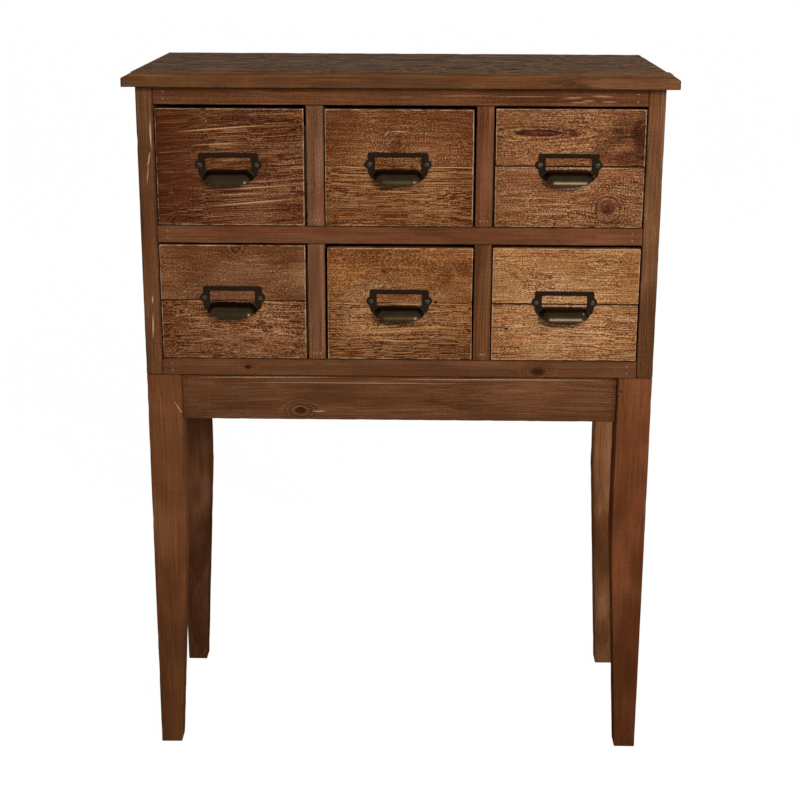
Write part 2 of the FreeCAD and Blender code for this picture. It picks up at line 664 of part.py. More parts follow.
def label_pull(name, line):
    """Stamped pull: a plate with a card window and two ears, and a hood that is open below."""
    middle, hood_top, face = line
    metal = size("plate_metal")
    radius = size("hood_radius")
    plate_front = f"({face} - {metal})"
    outer_front = f"({face} - {radius} - {metal})"
    outer_depth = f"({radius} + {metal})"
    hood_low = f"({hood_top} - {radius})"
    half_flat = f"({size('hood_flat')} / 2)"
    across = f"(2 * {size('plate_width')})"
    left = f"({middle} - {size('plate_width')})"

    def skirt(tag, front, depth):
        """Slice of the outline below the plate: elliptical shoulders that meet the wide arc of the lip."""
        curve = doc.addObject("Part::Ellipse", f"{name}_{tag}_curve")
        curve.setExpression("MajorRadius", f"{size('plate_width')} / 2")
        curve.setExpression("MinorRadius", size("shoulder_drop"))
        curve.Placement.Rotation = FreeCAD.Rotation(FreeCAD.Vector(1, 0, 0), -90)
        place(curve, middle, front, hood_top)
        shoulders = doc.addObject("Part::Extrusion", f"{name}_{tag}_shoulders")
        shoulders.Base = curve
        shoulders.DirMode = "Custom"
        shoulders.Dir = FreeCAD.Vector(0, 1, 0)
        shoulders.Solid = True
        shoulders.setExpression("LengthFwd", depth)
        lip = rod(f"{name}_{tag}_lip", (middle, front, f"({hood_low} + {size('lip_radius')})"),
                  size("lip_radius"), depth, INTO_WOOD)
        band = block(f"{name}_{tag}_band", (left, front, f"({hood_low} - {metal})"),
                     across, depth, f"({radius} + {metal})")
        return shared(f"{name}_{tag}", [shoulders, lip, band])

    def swell(tag, wall):
        """Outside of the hood, or its inside, one wall smaller: a round bar with rounded ends."""
        bar_radius = f"({radius} - {wall})"
        end_reach = f"({size('hood_end')} - {wall})"
        bar = rod(f"{name}_{tag}_bar", (f"({middle} - {half_flat})", face, hood_low),
                  bar_radius, size("hood_flat"), (0, 1, 0, 90))
        ends = []
        for side, turn in ((-1, 90), (1, -90)):
            end = doc.addObject("Part::Ellipsoid", f"{name}_{tag}_end_{side}")
            end.setExpression("Radius1", bar_radius)
            end.setExpression("Radius2", bar_radius)
            end.setExpression("Radius3", end_reach)
            end.Angle1 = -90
            end.Angle2 = 90
            end.Angle3 = 180
            end.Placement.Rotation = FreeCAD.Rotation(FreeCAD.Vector(0, 0, 1), turn)
            place(end, f"({middle} + {side} * {half_flat})", face, hood_low)
            ends.append(end)
        return joined(f"{name}_{tag}", [bar] + ends)

    plate_height = f"({size('window_sill')} + {size('window_height')} + {size('rim_height')})"
    corner = size("plate_corner")
    half_plate = f"({size('plate_width')} / 2)"
    corner_level = f"({hood_top} + {plate_height} - {corner})"
    plate = [
        block(f"{name}_plate_field", (f"({middle} - {half_plate})", plate_front, hood_top),
              size("plate_width"), metal, f"({plate_height} - {corner})"),
        block(f"{name}_plate_rim", (f"({middle} - {half_plate} + {corner})", plate_front, hood_top),
              f"({size('plate_width')} - 2 * {corner})", metal, plate_height),
    ]
    for side in (-1, 1):
        x = f"({middle} + {side} * ({half_plate} - {corner}))"
        plate.append(rod(f"{name}_plate_corner_{side}", (x, plate_front, corner_level), corner, metal, INTO_WOOD))
    flange = skirt("flange", plate_front, metal)
    ears = []
    ear_holes = []
    for side in (-1, 1):
        x, _, z = ear_place(side, line)
        ears.append(rod(f"{name}_ear_{side}", (x, plate_front, z), size("ear_radius"), metal, INTO_WOOD))
        ear_holes.append(rod(f"{name}_ear_hole_{side}", (x, f"({plate_front} - {metal})", z),
                             f"({size('pull_screw_shank')} / 2 + {size('hole_gap')})",
                             f"(3 * {metal})", INTO_WOOD))
    hood = shared(f"{name}_hood", [swell("hood_outside", "0"), skirt("hood_outline", outer_front, outer_depth)])

    hollow_space = block(f"{name}_hollow_space", (left, outer_front, f"({hood_low} - {metal})"),
                         across, f"({outer_depth} + {metal})", outer_depth)
    hollow = shared(f"{name}_hollow", [swell("hood_inside", metal), hollow_space])
    window = block(f"{name}_window",
                   (f"({middle} - {size('window_width')} / 2)", f"({plate_front} - {metal})",
                    f"({hood_top} + {size('window_sill')})"),
                   size("window_width"), f"(3 * {metal})", size("window_height"))
    metal_sheet = joined(f"{name}_pull_sheet", plate + [flange, hood] + ears)
    openings = joined(f"{name}_pull_openings", [hollow, window] + ear_holes)
    node(f"{name}_drawer_pull", cut(f"{name}_pull", metal_sheet, openings))


case()
dividers()
stand()
for row in (0, 1):
    for column in (0, 1, 2):
        drawer(row, column)
node("case_screws", group("screw_set", [wood_screw(f"screw_{s[0]}", s, "0") for s in SCREW_SPOTS]))
node("brad_nails", group("brad_set", [brad(f"brad_{s[0]}", s, "0") for s in BRAD_SPOTS]))
doc.recompute()

# Every object has to have come out whole before anything is written.
for thing in doc.Objects:
    if "Invalid" in thing.State or "Error" in thing.State:
        raise RuntimeError(f"{thing.Name} did not recompute: {thing.State}")
for name, piece in NODES.items():
    if piece.Shape.isNull() or not piece.Shape.isValid():
        raise RuntimeError(f"{name} has no valid shape")

os.makedirs("parts", exist_ok=True)
for name, piece in NODES.items():
    piece.Shape.exportStep(f"parts/{name}.step")
print(len(NODES), "nodes")
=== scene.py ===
import math
from functools import partial
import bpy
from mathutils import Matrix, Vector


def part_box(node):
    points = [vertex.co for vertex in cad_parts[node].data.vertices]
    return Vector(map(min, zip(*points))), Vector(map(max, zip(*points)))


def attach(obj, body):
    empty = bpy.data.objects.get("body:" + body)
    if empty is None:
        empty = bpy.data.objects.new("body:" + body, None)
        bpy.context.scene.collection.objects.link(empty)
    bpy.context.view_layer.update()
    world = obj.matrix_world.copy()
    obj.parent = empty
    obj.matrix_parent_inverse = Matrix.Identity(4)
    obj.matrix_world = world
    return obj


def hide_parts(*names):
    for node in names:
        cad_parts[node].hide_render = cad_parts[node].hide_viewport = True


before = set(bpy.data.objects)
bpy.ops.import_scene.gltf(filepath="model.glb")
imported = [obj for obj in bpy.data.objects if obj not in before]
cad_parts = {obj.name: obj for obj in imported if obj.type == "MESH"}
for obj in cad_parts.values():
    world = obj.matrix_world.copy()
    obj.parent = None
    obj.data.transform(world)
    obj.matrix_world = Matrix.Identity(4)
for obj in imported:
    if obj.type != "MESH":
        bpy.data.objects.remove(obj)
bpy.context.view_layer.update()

from types import SimpleNamespace

import bpy
from mathutils import Matrix, Vector

# An apothecary chest of six small drawers on a stand with four tapered legs, in brown stained
# reclaimed fir, with stamped antique bronze label pulls. Lengths are in metres.

bl_info = {
    "name": "Apothecary chest",
    "version": (1, 0, 0),
    "blender": (4, 5, 0),
    "location": "View3D > Sidebar > Chest",
    "description": "Dresses the chest of six drawers: worn boards, bronze label pulls and a studio stage",
    "category": "Add Mesh",
}

MM = 0.001
DRAWERS = [f"{row}_{column}_drawer" for row in ("upper", "lower") for column in ("left", "middle", "right")]
BLACK_LINE = "#140b06"


def linear(colour):
    """The linear colour that shaders take, from an sRGB hex value."""
    parts = [int(colour[start:start + 2], 16) / 255 for start in (1, 3, 5)]
    return [part / 12.92 if part <= 0.04045 else ((part + 0.055) / 1.055) ** 2.4 for part in parts] + [1.0]


# Finishes

def add(tree, kind, *values, out=0, named=None, **settings):
    """Adds one shader node with its settings and its sockets set or linked, and returns an output.

    A word after the kind is its operation, or how it goes from the first value to the last.
    """
    kind, _, way = kind.partition(" ")
    node = tree.nodes.new("ShaderNode" + kind)
    if way:
        setattr(node, "interpolation_type" if kind == "MapRange" else "operation", way)
    for setting, value in settings.items():
        setattr(node, setting, value)
    sockets = dict(enumerate(values))
    sockets.update(named or {})
    for socket, value in sockets.items():
        if isinstance(value, bpy.types.NodeSocket):
            tree.links.new(value, node.inputs[socket])
        elif value is not None:
            node.inputs[socket].default_value = value
    return node.outputs[out] if len(node.outputs) else node


def blank_material(name):
    """An empty node material, and the short way to add nodes to it."""
    material = bpy.data.materials.new(name)
    material.use_nodes = True
    material.node_tree.nodes.clear()
    return material, partial(add, material.node_tree)


def mix_colour(node, share, first, second, **settings):
    """A share of the second colour over the first."""
    return node("Mix", share, *[None] * 5, first, second, out=2, data_type="RGBA", **settings)


def colour_ramp(node, factor, places, colours):
    """Colour from a factor, through three colours at their places."""
    colour = node("ValToRGB", factor)
    elements = colour.node.color_ramp.elements
    elements.new(0.5)
    for element, place, tone in zip(elements, places, colours):
        element.position = place
        element.color = tone
    return colour


def palette(*tones):
    return [linear(tone) for tone in tones]


def shades(tone):
    """Darkest, middle and palest colour of stained wood, from the middle one. The palest is yellower."""
    return [[part * share for part, share in zip(linear(tone), shares)]
            for shares in ((0.48, 0.45, 0.42, 1), (1, 1, 1, 1), (1.9, 2.2, 2.7, 1))]


# How each board's wood lies: which of the object's axes run along the grain, across it and into the face
LEVEL_FRONT = ("X", "Z", "Y")
UPRIGHT_FRONT = ("Z", "X", "Y")
LEVEL_SIDE = ("Y", "Z", "X")
LEVEL_TOP = ("X", "Y", "Z")

# A board of fir about which nothing else is said. Lengths are in millimetres and the slope is in degrees.
# Fibres of 0.05 mm are drawn 1 mm wide to show. Marks are measured along and across the grain. A knot is
# along, across, radius, stretch and darkness of its rim. A hole is along, across and radius, a scratch is
# start, end and width, and a joint is across, width and strength. Stains and patches of painted shade are
# each along, across, two reaches, tone and strength, a place that is darker beyond is along, across, two
# reaches and the tone beyond it, and a calm place is along, across and two reaches.
FIR = dict(
    seed=0, slope=0.0,
    ring=7.0, pith=(0.0, 40.0), rake=0.01, wander=2.0, coarse=1.0,
    lightness=0.5, rings=0.2, clouds=0.2, sawn=0.0,
    strand_length=40, strand_width=0.95, fibre=0.42, speckle=0.3, flecks=0.0,
    knots=(), holes=(), scratches=(), stains=(), handled=(), calm=(), joints=(),
    torn_tone="#b98a5c", wear=0.9, worn=0.7, worn_tone="#b48a63",
    rough=0.5, shine=0.03, relief=0.3,
)
PORES = 0.04


class Fir:
    """The shader of one board of stained sawn fir.

    Growth rings cut along the trunk give bands with a sharp dark side, and crowd round knots. Fibres give
    fine lines along the grain. The stain sinks in unevenly. Arrises are rubbed back to bare wood, and on the
    frame they are darkened with pooled stain and painted shade.
    """

    def __init__(self, name, lie, look):
        self.material, self.node = blank_material(name)
        self.look = look
        node = self.node
        place = node("TexCoord", out="Object")
        self.place = node("VectorMath MULTIPLY", place, (1 / MM, 1 / MM, 1 / MM))
        parts = {axis: node("SeparateXYZ", self.place, out=axis) for axis in "XYZ"}
        self.grain = node("CombineXYZ", *[parts[axis] for axis in lie])
        # Each board comes from its own place in the log
        self.log = (look.seed * 137.1 % 911, look.seed * 71.7 % 613, look.seed * 39.3 % 401)
        self.still = node("Mapping", self.grain, self.log, (0, 0, -math.radians(look.slope)))
        self.cloud = self.noise(self.still, 0, (80, 42, 42), 1.0)

    def noise(self, way, start, span, detail, roughness=0.6, out=0):
        """Noise whose cells are as long, wide and deep as the span."""
        way = self.node("Mapping", way, (start, start, start), (0, 0, 0), [1 / part for part in span])
        sockets = {"Vector": way, "Scale": 1.0, "Detail": detail, "Roughness": roughness}
        return self.node("TexNoise", named=sockets, out=out)

    def oval(self, along, across, reach_along, reach_across):
        """Place measured from a spot, in its own reaches."""
        place = (-along / reach_along, -across / reach_across, 0)
        return self.node("Mapping", self.grain, place, (0, 0, 0), (1 / reach_along, 1 / reach_across, 0))

    def reach(self, *spot):
        """Distance from a spot, in its own reaches."""
        return self.node("VectorMath LENGTH", self.oval(*spot), out="Value")

    def flow_round_knots(self):
        """Turns the grain round each knot like water round a post, and finds where knots are."""
        node = self.node
        aside = self.crowd = self.close = self.knot = self.rim = 0.0
        ragged = self.noise(self.still, 0, (9, 9, 9), 3.0)
        for along, across, radius, stretch, dark in self.look.knots:
            way = self.oval(along, across, radius * stretch, radius)
            reach = node("VectorMath LENGTH", way, out="Value")
            reach = node("Math MULTIPLY_ADD", ragged, 0.5, reach)
            reach = node("Math SUBTRACT", reach, 0.25)
            squared = node("Math MULTIPLY", reach, reach)
            squared = node("Math MAXIMUM", squared, 1.0)
            offset = node("SeparateXYZ", way, out="Y")
            offset = node("Math DIVIDE", offset, squared)
            aside = node("Math MULTIPLY_ADD", offset, -radius, aside)
            near = node("MapRange SMOOTHERSTEP", reach, 0.8, 4.5, 1, 0)
            self.crowd = node("Math MULTIPLY_ADD", near, radius * 5, self.crowd)
            self.close = node("Math MAXIMUM", near, self.close)
            inside = node("MapRange SMOOTHSTEP", reach, 0.85, 1.2, 0.6 + 0.4 * dark, 0)
            self.knot = node("Math MAXIMUM", inside, self.knot)
            bark = node("MapRange", reach, 0.5, 0.95, 0, dark)
            bark = node("Math MULTIPLY", bark, inside)
            self.rim = node("Math MAXIMUM", bark, self.rim)
        flow = node("CombineXYZ", 0.0, aside, 0.0)
        self.flow = node("VectorMath ADD", flow, self.still)

    def grow_rings(self):
        """Late wood from 0 to 1, by the distance from the pith, which wanders along the board."""
        node, look = self.node, self.look
        drift = self.noise(self.still, 0, (210, 55 * look.coarse, 55), 2.0, 0.4, out=1)
        drift = node("VectorMath SUBTRACT", drift, (0.5, 0.5, 0.5))
        drift = node("VectorMath MULTIPLY", drift, (0, look.wander * 4, look.wander * 4))
        self.flow = node("VectorMath ADD", self.flow, drift)
        along, across, deep = self.log
        centre = (-along * look.rake, -across - look.pith[0], -deep - look.pith[1])
        centred = node("Mapping", self.flow, centre, (0, 0, 0), (look.rake, 1, 1))
        turn = node("VectorMath LENGTH", centred, out="Value")
        turn = node("Math ADD", turn, self.crowd)
        turn = node("Math DIVIDE", turn, look.ring)
        turn = node("Math FRACT", turn)
        late = node("MapRange SMOOTHSTEP", turn, 0.25, 0.9, 0, 1)
        sharp = node("MapRange", turn, 0.9, 1.0, 1, 0)
        self.late = node("Math MULTIPLY", late, sharp)

    def draw_fibres(self):
        """Fibre lines and specks about 0. They stand out more in some places."""
        node, look = self.node, self.look
        width = look.strand_width
        self.strand = self.noise(self.flow, 0, (look.strand_length, width * look.coarse, width), 1.0)
        self.speck = self.noise(self.still, 0, (1.7, width * look.coarse, width), 0.0)
        fine = self.added(0.0, (self.strand, look.fibre), (self.speck, look.speckle))
        lively = node("MapRange", self.noise(self.still, 23, (70, 30, 30), 1.0), 0.36, 0.62, 0.7, 1.25)
        for place in look.calm:
            rest = node("MapRange SMOOTHSTEP", self.reach(*place), 0.5, 1.3, 0.4, 1)
            lively = node("Math MULTIPLY", lively, rest)
        return fine, lively

    def added(self, light, *patterns):
        """Adds each pattern's share to the lightness. Most noise lies within an eighth of its middle."""
        for part, share in patterns:
            part = self.node("Math SUBTRACT", part, 0.5)
            light = self.node("Math MULTIPLY_ADD", part, share * 4, light)
        return light

    def find_lightness(self):
        """Lightness from 0 to 1: rings, fibres, clouds, saw marks, torn pale flecks and open dark pores."""
        node, look = self.node, self.look
        fine, lively = self.draw_fibres()
        ringed = node("Math MULTIPLY_ADD", self.close, -0.28, -look.rings)
        light = node("Math MULTIPLY_ADD", self.late, ringed, look.lightness + look.rings * 0.3)
        light = node("Math MULTIPLY_ADD", fine, lively, light)
        light = self.added(light, (self.cloud, look.clouds))
        if look.sawn:
            light = self.added(light, (self.noise(self.still, 0, (1.5, 34, 34), 2.0), look.sawn))
        torn = (look.flecks, 11, 60, 0.58, 0.76)
        pores = (-PORES, 47, 12, 0.6, 0.74)
        for share, start, length, *limits in (torn, pores):
            if share:
                fleck = self.noise(self.flow, start, (length, 1.1 * look.coarse, 1.1), 1.0)
                fleck = node("MapRange", fleck, *limits, 0, 1)
                light = node("Math MULTIPLY_ADD", fleck, share, light)
        self.light = light

    def stained(self, tones):
        """Colour of the stain, which is redder in one place and browner in another."""
        node = self.node
        colour = colour_ramp(node, self.light, (0.0, 0.45, 1.0), tones)
        warmth = node("MapRange", self.noise(self.still, 31, (60, 14, 14), 2.0), 0.38, 0.62, 0, 1)
        tint = mix_colour(node, warmth, (1.05, 0.99, 0.93, 1), (0.96, 1.01, 1.05, 1))
        colour = mix_colour(node, 1.0, colour, tint, blend_type="MULTIPLY")
        # Stains, and patches of painted shade such as the legs' shade towards the floor, darken the colour
        for *spot, tone, strength in self.look.stains:
            reach = node("Math MULTIPLY_ADD", self.cloud, 1.4, self.reach(*spot))
            patch = node("MapRange SMOOTHSTEP", reach, 1.1, 1.9, strength, 0)
            colour = mix_colour(node, patch, colour, linear(tone), blend_type="MULTIPLY")
        # Away from the pull, towards the front's edges and corners, the colour grows darker
        for *spot, tone in self.look.handled:
            reach = node("Math MULTIPLY_ADD", self.cloud, 0.8, self.reach(*spot))
            away = node("MapRange SMOOTHSTEP", reach, 0.9, 1.8, 0, 1)
            colour = mix_colour(node, away, colour, linear(tone), blend_type="MULTIPLY")
        return colour

    def knotted(self, colour):
        """Knots are red-brown inside a black rim."""
        if not self.look.knots:
            return colour
        core = self.node("Math MULTIPLY_ADD", self.rim, -0.5, self.light)
        core = colour_ramp(self.node, core, (0.0, 0.35, 0.9), palette("#140804", "#3a190f", "#643624"))
        return mix_colour(self.node, self.knot, colour, core)

    def torn(self, colour):
        """Long pale scratches where the brush tore the grain."""
        node = self.node
        for start_along, start_across, end_along, end_across, width in self.look.scratches:
            length = math.hypot(end_along - start_along, end_across - start_across)
            angle = math.atan2(end_across - start_across, end_along - start_along)
            middle = ((start_along + end_along) / 2, (start_across + end_across) / 2, 0)
            way = node("VectorMath SUBTRACT", self.grain, middle)
            way = node("Mapping", way, (0, 0, 0), (0, 0, -angle), (1, 1, 0))
            way = node("Mapping", way, (0, 0, 0), (0, 0, 0), (2 / length, 2 / width, 0))
            reach = node("VectorMath LENGTH", way, out="Value")
            torn = node("MapRange", reach, 0.3, 1.0, 2.2, 0)
            torn = node("Math MULTIPLY", torn, self.speck, use_clamp=True)
            colour = mix_colour(node, torn, colour, linear(self.look.torn_tone))
        return colour

    def rubbed(self, colour, box):
        """Arrises: rubbed back to bare wood on the fronts and the top's field, darkened with pooled stain and
        painted shade on the frame. The second nearest face of the box is the way to its edge.
        """
        node, wear = self.node, self.look.wear
        middle = [(low + high) / 2 / MM for low, high in zip(*box)]
        half = [(high - low) / 2 / MM for low, high in zip(*box)]
        inside = node("VectorMath SUBTRACT", self.place, middle)
        inside = node("VectorMath ABSOLUTE", inside)
        inside = node("VectorMath SUBTRACT", half, inside)
        x, y, z = [node("SeparateXYZ", inside, out=axis) for axis in "XYZ"]
        lesser = node("Math MINIMUM", x, y)
        greater = node("Math MAXIMUM", x, y)
        greater = node("Math MINIMUM", greater, z)
        edge = node("Math MAXIMUM", lesser, greater)
        chew = self.noise(self.still, 5, (13, 11, 11), 5.0, 0.75)
        chew = node("MapRange", chew, 0.3, 0.7, 1, -1)
        edge = node("Math MULTIPLY_ADD", chew, wear, edge)
        # The edge tone is pale bare wood on the fronts. On the frame it is dark, and paints shade along the
        # edges together with the pooled stain.
        bare = node("MapRange", edge, wear * 0.5, wear * 1.3, self.look.worn, 0)
        return mix_colour(node, bare, colour, linear(self.look.worn_tone))

    def pitted(self, colour):
        """Worm holes, nail holes and dark glue joints."""
        node = self.node
        self.depth = 0.0
        for along, across, size in self.look.holes:
            pit = node("MapRange", self.reach(along, across, size, size), 0.6, 1.2, 1, 0)
            self.depth = node("Math MAXIMUM", pit, self.depth)
        for across, width, strength in self.look.joints:
            reach = node("SeparateXYZ", self.grain, out="Y")
            reach = node("Math SUBTRACT", reach, across)
            reach = node("Math ABSOLUTE", reach)
            pit = node("MapRange", reach, width * 0.3, width, strength, 0)
            self.depth = node("Math MAXIMUM", pit, self.depth)
        return mix_colour(node, self.depth, colour, linear(BLACK_LINE))

    def finish(self, colour):
        """Brushed relief, where hard late wood stands proud of the soft early wood, and a dull surface."""
        node, look = self.node, self.look
        height = node("Math MULTIPLY_ADD", self.strand, 1.6, self.light)
        height = node("Math MULTIPLY_ADD", self.depth, -3.0, height)
        bump = node("Bump", named={"Height": height, "Strength": look.relief, "Distance": 0.4 * MM})
        gloss = node("Math MULTIPLY_ADD", self.strand, 0.25, look.rough - 0.12)
        shader = node("BsdfPrincipled", named={"Base Color": colour, "Roughness": gloss, "Normal": bump,
                                               "IOR": 1.5, "Specular IOR Level": look.shine})
        node("OutputMaterial", shader)


def timber(name, tones, lie, box, **look):
    """Stained sawn fir for a board that fills a box in metres: its three tones and how its wood lies."""
    fir = Fir(name, lie, SimpleNamespace(**{**FIR, **look}))
    fir.flow_round_knots()
    fir.grow_rings()
    fir.find_lightness()
    colour = fir.torn(fir.knotted(fir.stained(tones)))
    fir.finish(fir.pitted(fir.rubbed(colour, box)))
    return fir.material


# How far out the plate of a pull and its hood lie, in millimetres
PLATE_FACE = -145.0
HOOD_FACE = -151.0


def metal(name, scale, detail, roughness, shift=(0, 0, 0)):
    """A blank metal, its places in millimetres, and the noise that mottles it."""
    material, node = blank_material(name)
    place = node("TexCoord", out="Object")
    place = node("Mapping", place, shift, (0, 0, 0), (1 / MM, 1 / MM, 1 / MM))
    sockets = {"Vector": place, "Scale": scale, "Detail": detail, "Roughness": roughness}
    return material, node, place, node("TexNoise", named=sockets)


def bronze(name, seed):
    """Antique bronze: brass sheet blackened in acid and oiled, greenish brown where the hood is rubbed."""
    material, node, place, mottle = metal(name, 0.1, 5.0, 0.6, (seed * 0.31, seed * 0.17, 0))
    grit = node("TexNoise", named={"Vector": place, "Scale": 1.1, "Detail": 3.0, "Roughness": 0.6})
    proud = node("SeparateXYZ", place, out="Y")
    proud = node("MapRange", proud, PLATE_FACE, HOOD_FACE, 0.0, 1.0)
    rubbed = node("MapRange", mottle, 0.3, 0.75, 0.3, 1)
    rubbed = node("Math MULTIPLY", rubbed, proud)
    colour = mix_colour(node, rubbed, linear("#211508"), linear("#302716"))
    gloss = node("MapRange", grit, 0.3, 0.7, 0.2, 0.34)
    bump = node("Bump", named={"Height": mottle, "Strength": 0.15, "Distance": 0.3 * MM})
    # A thin coat of wax gives the small sharp highlights
    shader = node("BsdfPrincipled", named={"Base Color": colour, "Metallic": 1.0, "Roughness": gloss,
                                           "Coat Weight": 0.1, "Coat Roughness": 0.1, "Normal": bump})
    node("OutputMaterial", shader)
    return material


def steel(name, tone, rust):
    """Worn mild steel of old screws and brads, dulled by handling, with rust in the hollows."""
    material, node, place, mottle = metal(name, 0.8, 4.0, 0.7)
    rusted = node("MapRange", mottle, 0.42, 0.6, 0, 1)
    colour = mix_colour(node, rusted, linear(tone), linear(rust))
    gloss = node("MapRange", mottle, 0.3, 0.7, 0.35, 0.7)
    bump = node("Bump", named={"Height": mottle, "Strength": 0.3, "Distance": 0.2 * MM})
    shader = node("BsdfPrincipled", named={"Base Color": colour, "Metallic": 0.85, "Roughness": gloss,
                                           "Normal": bump})
    node("OutputMaterial", shader)
    return material


# Shaping

SMOOTH_ANGLE = math.radians(40)
CUT_STEP = 11 * MM
CHIP_LENGTH = 11 * MM
# The part of the wear texture from full wear, at the darkest, to none
CHIP_RAMP = ((0.22, 0.0), (0.5, 1.0))


def set_mode(mode):
    bpy.ops.object.mode_set(mode=mode)


def deselect():
    if bpy.context.object and bpy.context.object.mode != "OBJECT":
        set_mode("OBJECT")
    bpy.ops.object.select_all(action="DESELECT")


def activate(piece):
    """Makes a piece the only one that is selected, and the one that is worked on."""
    deselect()
    piece.select_set(True)
    bpy.context.view_layer.objects.active = piece


def choose(piece, test):
    """Chooses only the vertices whose place passes the test, and stays in edit mode."""
    bpy.ops.mesh.select_mode(type="VERT")
    bpy.ops.mesh.select_all(action="DESELECT")
    set_mode("OBJECT")
    for vertex in piece.data.vertices:
        vertex.select = test(vertex.co)
    set_mode("EDIT")


def new_block(name, low, high):
    """A block between two corners, with its place in its mesh, left in edit mode."""
    deselect()
    low, high = Vector(low), Vector(high)
    bpy.ops.mesh.primitive_cube_add(size=1, location=(low + high) / 2, scale=high - low)
    piece = bpy.context.object
    piece.name = piece.data.name = name
    bpy.ops.object.transform_apply(location=True, rotation=True, scale=True)
    set_mode("EDIT")
    bpy.ops.mesh.select_all(action="SELECT")
    return piece


def slice_at(axis, places):
    """Cuts the mesh in edit mode across one axis at each place."""
    normal = [1.0 if index == axis else 0.0 for index in range(3)]
    for place in places:
        bpy.ops.mesh.select_all(action="SELECT")
        bpy.ops.mesh.bisect(plane_co=[part * place for part in normal], plane_no=normal)


def rounded(radius):
    bpy.ops.mesh.select_all(action="SELECT")
    bpy.ops.mesh.bevel(offset=radius, segments=2, profile=0.5, affect="EDGES", clamp_overlap=True)


def steps_between(low, high, step):
    """Places at even steps between two others, about a step apart."""
    count = max(1, round((high - low) / step))
    return [low + (high - low) * index / count for index in range(1, count)]


def apply_modifier(piece, kind, **settings):
    modifier = piece.modifiers.new(kind.title(), kind)
    for setting, value in settings.items():
        setattr(modifier, setting, value)
    bpy.context.view_layer.objects.active = piece
    bpy.ops.object.modifier_apply(modifier=modifier.name)


def chew_edges(piece, depth):
    """Wears a board's arrises inwards, in chips. Most of the texture is white, which is no wear."""
    bpy.context.view_layer.objects.active = piece
    set_mode("EDIT")
    bpy.ops.mesh.select_all(action="SELECT")
    bpy.ops.mesh.normals_make_consistent(inside=False)
    set_mode("OBJECT")
    texture = bpy.data.textures.new(piece.name + "_wear", "CLOUDS")
    texture.noise_scale = CHIP_LENGTH
    texture.noise_depth = 3
    texture.use_color_ramp = True
    for stop, (where, tone) in zip(texture.color_ramp.elements, CHIP_RAMP):
        stop.position = where
        stop.color = (tone, tone, tone, 1.0)
    apply_modifier(piece, "DISPLACE", texture=texture, texture_coords="LOCAL", mid_level=1.0, strength=depth)


def finish_board(piece, body, material, slot, *nodes):
    """Smooth faces within flat limits, its finish, and its place in the frame."""
    activate(piece)
    bpy.ops.object.shade_smooth_by_angle(angle=SMOOTH_ANGLE)
    piece.data.materials.clear()
    piece.data.materials.append(material)
    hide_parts(*nodes)
    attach(piece, body)
    piece.select_set(False)


def board(name, low, high, long_axis, round_edge, wear_depth, step=CUT_STEP):
    """A sawn board: rounded arrises, cut at short steps along its length, then worn."""
    piece = new_block(name, low, high)
    rounded(round_edge)
    slice_at(long_axis, steps_between(low[long_axis] + round_edge, high[long_axis] - round_edge, step))
    set_mode("OBJECT")
    chew_edges(piece, wear_depth)
    return piece


def stock(low, high, inset):
    """A board's two corners, a little inside its nominal size."""
    gap = Vector((inset, inset, inset))
    return Vector(low) + gap, Vector(high) - gap


def boxes_of(node, key):
    """Boxes of a CAD node's solids, which a key of their places tells apart, in the order of the keys."""
    solids = {}
    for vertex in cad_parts[node].data.vertices:
        solids.setdefault(key(vertex.co), []).append(vertex.co)
    sides = [list(zip(*places)) for _, places in sorted(solids.items())]
    return [(Vector(map(min, parts)), Vector(map(max, parts))) for parts in sides]


def copied(node, name):
    """A merged copy of a CAD node's mesh, to round."""
    deselect()
    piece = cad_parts[node].copy()
    piece.data = piece.data.copy()
    for key in list(piece.keys()):
        del piece[key]
    piece.parent = None
    piece.name = piece.data.name = name
    bpy.context.scene.collection.objects.link(piece)
    activate(piece)
    set_mode("EDIT")
    bpy.ops.mesh.select_all(action="SELECT")
    bpy.ops.mesh.remove_doubles(threshold=0.001 * MM)
    set_mode("OBJECT")
    return piece


MULLION_TONES = ("#68432c", "#6c4730", "#5c3821", "#643c26")
APRON_TONE = "#5b3822"
# The top's field: weathered grey fir, whose tones also hold painted sheen
TOP_WEATHER_AND_SHEEN = palette("#342319", "#563c2a", "#7c6048")
BOX_TONES = palette("#7a5a3b", "#a6835b", "#c7a981")
PLY_TONES = palette("#7d6042", "#a58361", "#c5a585")

# How the wood of the frame was finished. Unlike the fronts it isn't brushed, and its arrises are darkened
# with pooled stain and painted shade.
SATIN = dict(strand_length=110, fibre=0.3, speckle=0.14, clouds=0.16, sawn=0.04, worn=0.5,
             worn_tone="#2e1a10", torn_tone="#b39873", shine=0.0)
SMOOTH = dict(SATIN, fibre=0.2, speckle=0.07, rings=0.12)
BANDED = dict(SMOOTH, strand_length=220, rings=0.28)
LEG = dict(SMOOTH, ring=6, rings=0.15)
APRON = dict(SATIN, ring=9, wander=4)
# The top's ends: end grain soaks up more stain, and the dark tone also paints shade on the ends.
END_GRAIN_AND_SHADE = dict(SATIN, seed=35, strand_length=3)
BEVEL = dict(BANDED, seed=31, ring=9, pith=(850, 60), wander=5)
FIELD = dict(seed=33, ring=30, pith=(0, 850), wander=9, coarse=4, strand_length=120, fibre=1.3, speckle=0.3,
             clouds=0.06, worn_tone="#9a7455", wear=1.8, rough=0.75, shine=0.01)
BRUSHED = dict(lightness=0.42, sawn=0.025, rings=0.04, worn_tone="#c0a480")
PLAIN = dict(worn=0.0)
PLY = dict(PLAIN, ring=16, wander=9)

